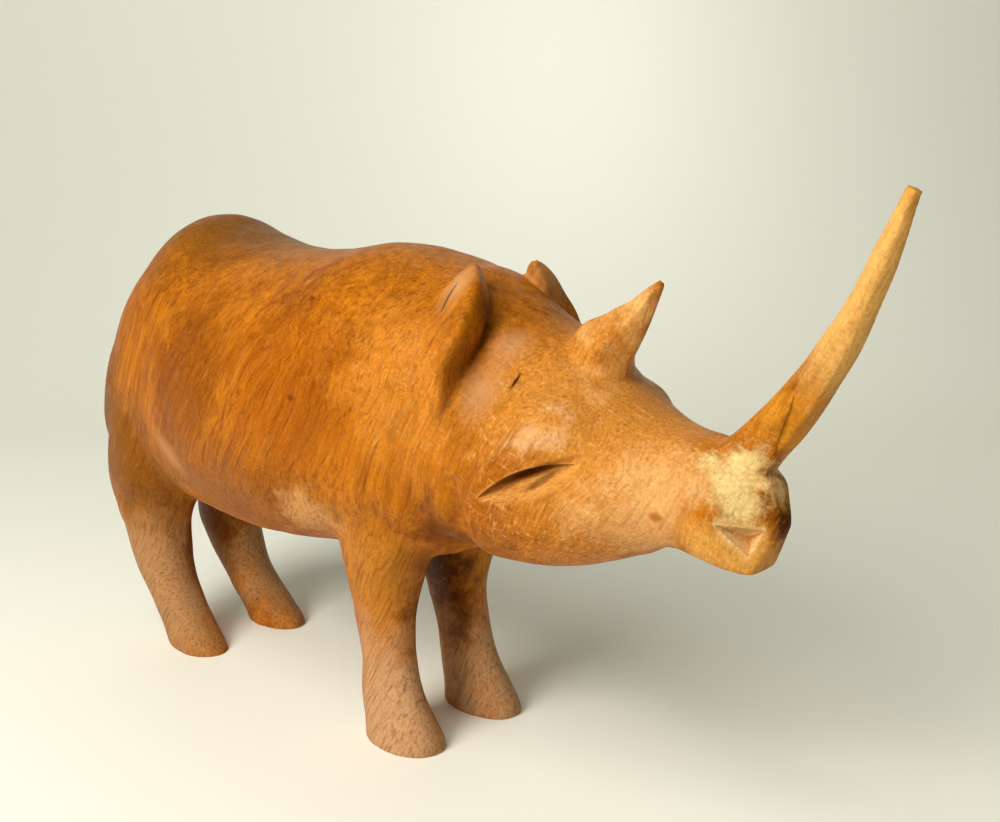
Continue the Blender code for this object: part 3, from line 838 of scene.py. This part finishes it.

# Tones of each part of the figure, alike on both sides, among them some painted shade and painted
# highlights: the middle, half sizes and turn of a patch in shares and degrees, how strong it is, and its
# colour.
PATCHES = (
    # The back of the rump and the top of the back, which are darker.
    ((-34, 0, 104), (52, 74, 66), (0, 0, 0), 0.9, (0.12, 0.036, 0.0)),
    ((22, 0, 172), (62, 46, 42), (0, 0, 0), 0.8, (0.16, 0.055, 0.002)),
    ((84, 0, 176), (46, 34, 24), (0, 0, 0), 0.6, (0.28, 0.1, 0.004)),
    # The middle of the flank, which is redder, and its lower part.
    ((112, 44, 126), (40, 30, 36), (0, 0, 0), 0.6, (0.31, 0.07, 0.0)),
    ((52, 48, 120), (30, 28, 50), (0, 20, 0), 0.75, (0.2, 0.046, 0.0)),
    ((76, 44, 86), (58, 30, 22), (0, 0, 0), 0.75, (0.25, 0.066, 0.0)),
    # The shoulder and the ridge of the back.
    ((156, 34, 130), (26, 28, 34), (0, 0, 0), 0.75, (0.56, 0.19, 0.018)),
    # The pale worn belly patch.
    ((114, 42, 80), (17, 16, 16), (0, 0, 0), 0.8, (0.62, 0.3, 0.09)),
    # Thighs and upper legs, then the lower legs, which are greyer.
    ((-2, 30, 80), (38, 30, 36), (0, 0, 0), 0.8, (0.17, 0.054, 0.001)),
    ((6, 30, 26), (56, 30, 40), (0, 0, 0), 0.95, (0.37, 0.19, 0.078)),
    ((134, 30, 62), (24, 26, 28), (0, 0, 0), 0.7, (0.48, 0.18, 0.02)),
    ((142, 30, 8), (50, 30, 46), (0, 0, 0), 0.95, (0.48, 0.265, 0.125)),
    # Painted shade on the inner sides of the legs and in the hollow behind the jaw.
    ((132, 2, 50), (30, 16, 46), (0, 0, 0), 0.95, (0.05, 0.006, 0.0)),
    ((-10, 4, 52), (34, 15, 36), (0, 0, 0), 0.8, (0.16, 0.04, 0.001)),
    ((166, 20, 82), (17, 22, 12), (0, 0, 0), 0.7, (0.14, 0.03, 0.001)),
    # The head, which is paler, its darker cheek, and painted highlights on the brow and at the root of the
    # rear horn.
    ((214, 10, 120), (46, 44, 44), (0, 0, 0), 0.65, (0.62, 0.25, 0.04)),
    ((194, 36, 102), (22, 18, 24), (0, 0, 0), 0.75, (0.3, 0.07, 0.0)),
    ((205, 29, 122), (13, 12, 8), (0, 0, 0), 0.7, (0.74, 0.4, 0.18)),
    ((214, 16, 138), (9, 12, 8), (0, 0, 0), 0.7, (0.72, 0.36, 0.13)),
    ((228, 16, 99), (22, 16, 15), (0, 0, 0), 0.75, (0.68, 0.34, 0.12)),
    ((238, 18, 112), (16, 16, 14), (0, 0, 0), 0.8, (0.66, 0.33, 0.11)),
    # The nose: pale at its top, partly paler wood and partly a painted highlight, and dark at its tip,
    # partly a darker finish and partly painted shade.
    ((257, 8, 95), (15, 20, 15), (0, 0, 0), 0.7, (0.78, 0.39, 0.08)),
    ((258, 8, 113), (13, 16, 10), (0, 0, 0), 0.9, (0.8, 0.58, 0.24)),
    ((277, 0, 104), (13, 16, 20), (0, 0, 0), 1.0, (0.06, 0.012, 0.001)),
    # The front horn, from its stained root up, and the rear horn.
    ((286, 0, 164), (30, 16, 44), (0, 0, 0), 0.85, (0.74, 0.4, 0.11)),
    ((266, 0, 130), (13, 14, 12), (0, 0, 0), 0.8, (0.6, 0.23, 0.014)),
    ((214, 0, 152), (15, 12, 15), (0, 0, 0), 0.8, (0.78, 0.42, 0.14)),
    # The side of the neck between the ear and the jaw.
    ((182, 34, 130), (14, 18, 22), (0, 0, 0), 0.65, (0.36, 0.11, 0.006)),
)

# Small places with a tone of their own, some of them painted shade and one painted light, each on one side
# only: the middle, half sizes and turn, how far in its edge is soft, how strong it is, and its colour.
DETAILS = (
    # Painted shade in the recess under the eye's upper edge, and the dark slit in its torn wood.
    ((203, -26.4, 110.2), (18, 8, 1.7), (0, -24, 0), 0.6, 0.85, (0.13, 0.026, 0.001)),
    ((205, -25.2, 107.2), (8, 6, 1.3), (0, -34, 0), 0.5, 0.7, (0.1, 0.02, 0.001)),
    # The greyer upper edge of the nostril's notch, which faces down: painted shade.
    ((260.5, -9, 101.2), (7, 6, 1.5), (0, 2, 0), 0.6, 0.6, (0.36, 0.2, 0.08)),
    # The paler upper face of the near ear, and painted light on the far ear, which lies in shade.
    ((168, -22, 160), (8, 10, 12), (0, 0, 0), 0.8, 0.6, (0.6, 0.3, 0.12)),
    ((166, 22, 162), (12, 12, 14), (0, 0, 0), 0.8, 0.7, (0.62, 0.36, 0.15)),
    # The shade between the near ear and the neck, and the greyer grooves beside it.
    ((179.2, -21.3, 153), (5, 9, 14), (0, 0, 0), 0.9, 0.7, (0.09, 0.016, 0.001)),
    ((179.3, -27.4, 138.3), (5, 9, 12), (0, 0, 0), 0.9, 0.7, (0.09, 0.016, 0.001)),
    ((187.1, -19, 143.8), (7, 9, 15), (0, 20, 0), 0.9, 0.45, (0.5, 0.27, 0.14)),
    ((184.9, -29.4, 130.7), (7, 9, 13), (0, 20, 0), 0.9, 0.45, (0.5, 0.27, 0.14)),
    # Knots in the flank.
    ((113, -33.8, 153), (1.9, 5, 1.2), (0, 0, 0), 0.6, 0.6, PAINTED_SHADE_AND_KNOT_TONE),
    ((115.6, -45.5, 122.5), (2.6, 5, 1.8), (0, 0, 0), 0.7, 0.7, (0.1, 0.012, 0.0)),
    # The pale streak on the thigh, the spot on the cheek, and the stain at the horn's root.
    ((37, -43, 91), (16, 8, 7), (0, 32, 0), 1.0, 0.3, FLECK_TONE),
    ((238, -16.8, 101.5), (2.6, 5, 2), (0, 0, 0), 0.6, 0.7, (0.3, 0.06, 0.0)),
    ((256.5, -5, 121.5), (3.4, 6, 1.6), (0, 20, 0), 0.6, 0.8, (0.3, 0.08, 0.0)),
)
# The handled places: middle, half sizes and turn, how far in the edge is soft, and how strong.
HANDLED_HEAD = (((224, 16, 110), (56, 50, 56), (0, 0, 0)), 0.3, 1.0)
HANDLED_SHOULDER = (((160, 36, 128), (30, 24, 34), (0, 0, 0)), 0.5, 0.5)
# Rubbing marks: direction, marks to a share across and along it, where the noise starts and ends to
# show, strength, and how much of it shows away from the handled places.
RUBBING_MARKS = (
    ((0.45, 0.1, 0.88), 1.1, 0.06, 0.56, 0.74, 0.42, 0.3),
    ((0.9, 0.2, -0.42), 1.2, 0.05, 0.58, 0.74, 0.5, 0.08),
    ((0.3, 0.1, 0.94), 2.2, 0.2, 0.58, 0.74, 0.4, 0.25),
)

# Noises of the wood: how many marks to a share, how many octaves, and how strong the finer ones are.
UNEVENNESS = (0.075, 4.0, 0.65)
SWERVE = (0.022, 1.0, 0.5)
MOTTLE = (1.1, 3.0, 0.7)
SHEEN = (0.25, 3.0, 0.6)
GRAIN_ROUGHNESS = 0.6
# How far the noises move each thing from its place, in shares.
BAND_SHIFT = 16
SWERVE_SHIFT = 14
PATCH_SHIFT = 34
DETAIL_SHIFT = 3
# Grain: marks to a share across its fibres and along them, and octaves.
BROAD_BANDS = (0.06, 0.012, 3.0)
FINE_BANDS = (0.3, 0.014, 3.0)
STREAKS = (0.9, 0.035, 4.0)
TORN_FIBRES = (1.4, 0.2, 3.0)
TORN_ALONG = (0.9, 0.2, 0.4)
PORES_TO_A_SHARE = (1.3, 1.3, 0.34)
# Where each noise starts and ends to show and, for some, its value at each of the two.
BAND_RANGE = (0.36, 0.64)
STREAK_RANGE = (0.48, 0.72)
MOTTLE_RANGE = (0.35, 0.65, 0.84, 1.13)
PORE_RANGE = (0.22, 0.08)
TORN_RANGE = (0.38, 0.6, 0.25, 1.0)
SHEEN_RANGE = (0.3, 0.7, 0.36, 0.52)
# How strongly each shows. Streaks weaken from the shoulder to the nose, between two places along X.
BROAD_BAND_SHARE = 0.45
FINE_BAND_SHARE = 0.55
STREAK_SHARES = (150, 250, 0.62, 0.3)
PORE_SHARE = 0.16
EYE_CUT_SHARE = 0.85
NOSE_CUT_SHARE = 0.9
CRACK_SHARE = 0.6
# How far in the edge of a patch is soft.
PATCH_EDGE = 0.55
# Where along X the eye's notch begins, past the hollows of the ears, and where the nostrils begin.
EYE_FROM = (182, 186)
NOSE_FROM = (240, 246)
# Where the wood turns dull: down the legs along Z, and over the nose along X, and by how much.
DULL_LEGS = (50.0, 20.0)
DULL_NOSE = (240.0, 252.0)
DULLNESS = 0.14
SPECULAR_LEVEL = 0.14
SPECULAR_TINT = (1, 0.62, 0.25, 1)
STREAK_RELIEF = -0.6
RELIEF_STRENGTH = 0.4
RELIEF_DEPTH = 0.0003

# The floor and its backdrop, in metres: where it starts and bends, how round the bend is, and its size.
FLOOR_NEAR = -1.6
FLOOR_BEND = 0.45
BEND_RADIUS = 0.5
BEND_STEPS = 24
BACKDROP_TOP = 2.4
FLOOR_HALF_WIDTH = 2.6
PAPER_TONE = (0.88, 0.87, 0.78, 1)
PAPER_ROUGHNESS = 0.6

# Lights: name, place, target and size in metres, power in watts, and colour.
LIGHTS = (
    ("key", (-0.02, -0.78, 0.56), (0.05, 0, 0.08), 0.5, 7.8, (1, 0.98, 0.93)),
    ("fill", (0.1, -0.9, 1.45), (0.05, 0.2, 0), 1.0, 12, (1, 1, 0.93)),
    ("glow", (-0.34, 0.52, 0.45), (-0.49, 0.73, 0.2), 0.15, 0.35, (1, 1, 0.93)),
)
ROOM_TONE = (0.95, 1, 0.9, 1)
ROOM_STRENGTH = 0.19


def share_place(plan, shift):
    """The place of a point of the surface in the carving's layout, in shares."""
    place = plan.add("ShaderNodeTexCoord", "Object")
    return plan.vector(
        "MULTIPLY", plan.vector("SUBTRACT", place, shift), (1 / SHARE, 1 / SHARE, 1 / SHARE)
    )


def fibre_place(plan, place):
    """The same place with Z along the fibres."""
    across = plan.vector("DOT_PRODUCT", place, FIBRE_ACROSS, "Value")
    beside = plan.vector("DOT_PRODUCT", place, (0, 1, 0), "Value")
    along = plan.vector("DOT_PRODUCT", place, FIBRE_ALONG, "Value")
    return plan.add("ShaderNodeCombineXYZ", 0, {0: across, 1: beside, 2: along})


def spot(plan, place, middle, sizes, turn=(0, 0, 0)):
    """A mask: 1 in the middle of a ball with the given half sizes and turn, falling to 0 at its edge."""
    turned = Matrix.Identity(3)
    for axis, angle in zip("XYZ", turn):
        turned = Matrix.Rotation(math.radians(angle), 3, axis) @ turned
    offset = plan.vector("SUBTRACT", place, middle)
    parts = []
    for axis, size in zip(turned.col, sizes):
        parts.append(plan.vector("DOT_PRODUCT", offset, tuple(axis / size), "Value"))
    scaled = plan.add("ShaderNodeCombineXYZ", 0, dict(enumerate(parts)))
    distance = plan.vector("LENGTH", scaled, result="Value")
    return plan.math("SUBTRACT", 1.0, distance, clamp=True)


def grained(plan, place, direction, across, along, detail=3.0):
    """Noise drawn out along a direction: so many marks to a share across it, and so many along it."""
    forward = Vector(direction).normalized()
    beside = forward.orthogonal().normalized()
    axes = (beside * across, forward.cross(beside) * across, forward * along)
    parts = [plan.vector("DOT_PRODUCT", place, tuple(axis), "Value") for axis in axes]
    drawn_out = plan.add("ShaderNodeCombineXYZ", 0, dict(enumerate(parts)))
    return plan.noise(drawn_out, 1.0, detail, GRAIN_ROUGHNESS)


def painted(plan, colour, mask, share, tone):
    """The colour with a tone laid over it, as far as the mask and the share say."""
    return plan.mixed(plan.math("MULTIPLY", mask, share), colour, (*tone, 1))


def moved(plan, place, offset, shift):
    """The place moved by the offset, which is first drawn out to the shift."""
    return plan.vector("ADD", place, plan.vector("MULTIPLY", offset, (shift, shift, shift)))


def along_axis(plan, place, axis):
    """The place along one axis: 0 for X, 1 for Y and 2 for Z."""
    return plan.add("ShaderNodeSeparateXYZ", axis, {0: place})


def on_both_sides(plan, place):
    """The place with the far side laid over the near one, so that both are painted alike."""
    x, y, z = (along_axis(plan, place, axis) for axis in range(3))
    return plan.add("ShaderNodeCombineXYZ", 0, {0: x, 1: plan.math("ABSOLUTE", y), 2: z})


def banded(plan, wavy, swerved):
    """The ground tone, which swings between a deep and a light orange brown along the fibres."""
    broad = plan.math("MULTIPLY", grained(plan, wavy, FIBRE_ALONG, *BROAD_BANDS), BROAD_BAND_SHARE)
    fine = plan.math("MULTIPLY", grained(plan, swerved, FIBRE_ALONG, *FINE_BANDS), FINE_BAND_SHARE)
    bands = plan.spread(plan.math("ADD", broad, fine), *BAND_RANGE)
    return plan.mixed(bands, (*DEEP_TONE, 1), (*LIGHT_TONE, 1))


def rubbed(plan, colour, patch_place, swerved):
    """Pale flecks and rubbing marks, most of them where the wood has been handled."""
    masks = []
    for ball, edge, most in (HANDLED_HEAD, HANDLED_SHOULDER):
        masks.append(plan.spread(spot(plan, patch_place, *ball), 0.0, edge, 0.0, most))
    handled = plan.math("MAXIMUM", *masks)
    for direction, across, along, low, high, share, everywhere in RUBBING_MARKS:
        marks = plan.spread(grained(plan, swerved, direction, across, along), low, high)
        where = plan.math("MAXIMUM", handled, everywhere)
        colour = painted(plan, colour, plan.math("MULTIPLY", marks, where), share, FLECK_TONE)
    return colour


def fibres(plan, colour, place, forward, streaks, pore):
    """Fine dark streaks along the grain, a mottle and open pores."""
    streak_share = plan.spread(forward, *STREAK_SHARES)
    streak = plan.math("MULTIPLY", plan.spread(streaks, *STREAK_RANGE), streak_share)
    colour = plan.mixed(streak, colour, (*STREAK_TONE, 1))
    mottle = plan.spread(plan.noise(place, *MOTTLE), *MOTTLE_RANGE)
    mottled = plan.add("ShaderNodeCombineColor", 0, {0: mottle, 1: mottle, 2: mottle})
    colour = plan.mixed(1.0, colour, mottled, "MULTIPLY")
    return painted(plan, colour, pore, PORE_SHARE, STREAK_TONE)


def cut(plan, colour, forward, swerved):
    """The paler torn wood of the eyes and nostrils, and painted shade in the cracks."""
    notched = plan.add("ShaderNodeAttribute", "Fac", attribute_name="notched")
    torn = plan.spread(grained(plan, swerved, TORN_ALONG, *TORN_FIBRES), *TORN_RANGE)
    for begins, share, tone in (
        (EYE_FROM, EYE_CUT_SHARE, CUT_TONE),
        (NOSE_FROM, NOSE_CUT_SHARE, PALE_CUT_TONE),
    ):
        here = plan.math("MULTIPLY", notched, plan.spread(forward, *begins))
        colour = painted(plan, colour, plan.math("MULTIPLY", here, torn), share, tone)
    cracked = plan.add("ShaderNodeAttribute", "Fac", attribute_name="cracked")
    return painted(plan, colour, cracked, CRACK_SHARE, PAINTED_SHADE_AND_KNOT_TONE)


def satin(plan, place, patch_place):
    """The roughness of the rubbed surface, which is duller where it has lost its oil."""
    legs = plan.spread(along_axis(plan, patch_place, 2), *DULL_LEGS)
    nose = plan.spread(along_axis(plan, patch_place, 0), *DULL_NOSE)
    dull = plan.math("MULTIPLY", plan.math("MAXIMUM", legs, nose), DULLNESS)
    sheen = plan.spread(plan.noise(place, *SHEEN), *SHEEN_RANGE)
    return plan.math("ADD", sheen, dull)


def wood_material(shift):
    """Figured hardwood: growth bands, fibres, pores, rubbing marks, the tones of each part, and painted
    shade and highlights.
    """
    wood = bpy.data.materials.new("carved_wood")
    plan = NodePlan(wood)
    place = share_place(plan, shift)
    forward = along_axis(plan, place, 0)
    uneven = plan.vector("SUBTRACT", plan.noise(place, *UNEVENNESS, "Color"), (0.5, 0.5, 0.5))
    swerved = moved(plan, place, plan.noise(place, *SWERVE, "Color"), SWERVE_SHIFT)
    patch_place = on_both_sides(plan, moved(plan, place, uneven, PATCH_SHIFT))
    detail_place = moved(plan, place, uneven, DETAIL_SHIFT)
    streaks = grained(plan, swerved, FIBRE_ALONG, *STREAKS)
    pore_place = plan.vector("MULTIPLY", fibre_place(plan, place), PORES_TO_A_SHARE)
    pores = plan.add("ShaderNodeTexVoronoi", "Distance", {"Vector": pore_place, "Scale": 1.0})
    pore = plan.spread(pores, *PORE_RANGE)

    colour = banded(plan, moved(plan, place, uneven, BAND_SHIFT), swerved)
    for middle, sizes, turn, share, tone in PATCHES:
        mask = plan.spread(spot(plan, patch_place, middle, sizes, turn), 0.0, PATCH_EDGE)
        colour = painted(plan, colour, mask, share, tone)
    colour = rubbed(plan, colour, patch_place, swerved)
    colour = fibres(plan, colour, place, forward, streaks, pore)
    colour = cut(plan, colour, forward, swerved)
    for middle, sizes, turn, edge, share, tone in DETAILS:
        mask = plan.spread(spot(plan, detail_place, middle, sizes, turn), 0.0, edge)
        colour = painted(plan, colour, mask, share, tone)
    plan.feed(plan.shader.inputs["Base Color"], colour)

    plan.feed(plan.shader.inputs["Roughness"], satin(plan, place, patch_place))
    plan.shader.inputs["Specular IOR Level"].default_value = SPECULAR_LEVEL
    plan.shader.inputs["Specular Tint"].default_value = SPECULAR_TINT
    height = plan.math("SUBTRACT", plan.math("MULTIPLY", streaks, STREAK_RELIEF), pore)
    relief = {"Height": height, "Strength": RELIEF_STRENGTH, "Distance": RELIEF_DEPTH}
    plan.feed(plan.shader.inputs["Normal"], plan.add("ShaderNodeBump", 0, relief))
    return wood


def floor_sweep(collection):
    """A floor that curves up into a backdrop behind the figure, as seen by the camera."""
    azimuth = math.radians(CAMERA_AZIMUTH)
    away = np.array([-math.sin(azimuth), math.cos(azimuth), 0])
    sideways = np.array([math.cos(azimuth), math.sin(azimuth), 0])
    profile = [(FLOOR_NEAR, 0.0), (FLOOR_BEND, 0.0)]
    for angle in np.linspace(0, np.pi / 2, BEND_STEPS + 1)[1:]:
        rise = BEND_RADIUS * (1 - math.cos(angle))
        profile.append((FLOOR_BEND + BEND_RADIUS * math.sin(angle), rise))
    profile.append((FLOOR_BEND + BEND_RADIUS, BACKDROP_TOP))
    points = []
    for distance, height in profile:
        for side in (-FLOOR_HALF_WIDTH, FLOOR_HALF_WIDTH):
            point = away * distance + sideways * side + np.array([0, 0, height])
            points.append(tuple(point))
    faces = [(2 * i, 2 * i + 1, 2 * i + 3, 2 * i + 2) for i in range(len(profile) - 1)]
    mesh = bpy.data.meshes.new("floor")
    mesh.from_pydata(points, [], faces)
    mesh.shade_smooth()
    floor = bpy.data.objects.new("floor", mesh)
    collection.objects.link(floor)
    paper = bpy.data.materials.new("pale_paper")
    plan = NodePlan(paper)
    plan.shader.inputs["Base Color"].default_value = PAPER_TONE
    plan.shader.inputs["Roughness"].default_value = PAPER_ROUGHNESS
    mesh.materials.append(paper)


def soft_light(name, place, target, size, power, colour, collection):
    lamp = bpy.data.lights.new(name, "AREA")
    lamp.shape = "DISK"
    lamp.size = size
    lamp.energy = power
    lamp.color = colour
    made = bpy.data.objects.new(name, lamp)
    made.location = place
    made.rotation_euler = (Vector(target) - Vector(place)).to_track_quat("-Z", "Y").to_euler()
    collection.objects.link(made)


def light_up(collection):
    """A large key light from the upper left on the camera's side, a weak fill, and a glow behind."""
    for name, place, target, size, power, colour in LIGHTS:
        soft_light(name, place, target, size, power, colour, collection)
    world = bpy.data.worlds.new("room")
    world.use_nodes = True
    background = world.node_tree.nodes["Background"]
    background.inputs["Color"].default_value = ROOM_TONE
    background.inputs["Strength"].default_value = ROOM_STRENGTH
    bpy.context.scene.world = world


def set_camera(shift, collection):
    lens = bpy.data.cameras.new("camera")
    lens.sensor_width = CAMERA_SENSOR
    lens.lens = CAMERA_LENS
    camera = bpy.data.objects.new("camera", lens)
    camera.location = Vector(CAMERA_PLACE) * SHARE + shift
    camera.rotation_euler = (
        math.radians(90 - CAMERA_PITCH),
        0,
        math.radians(CAMERA_AZIMUTH),
    )
    collection.objects.link(camera)
    bpy.context.scene.camera = camera


def main():
    stage = bpy.context.scene.collection
    figure = bpy.data.collections.new("rhinoceros")
    tools = bpy.data.collections.new(TOOLS_NAME)
    tools.hide_render = True
    for collection in (figure, tools):
        stage.children.link(collection)

    carving, shift = carve(figure, tools)
    carving.data.materials.clear()
    carving.data.materials.append(wood_material(shift))
    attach(carving, "root")
    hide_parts("rhinoceros_figure")

    for tool in list(tools.objects):
        bpy.data.objects.remove(tool)
    floor_sweep(stage)
    light_up(stage)
    set_camera(shift, stage)
    bpy.context.scene.view_settings.view_transform = "Standard"


main()
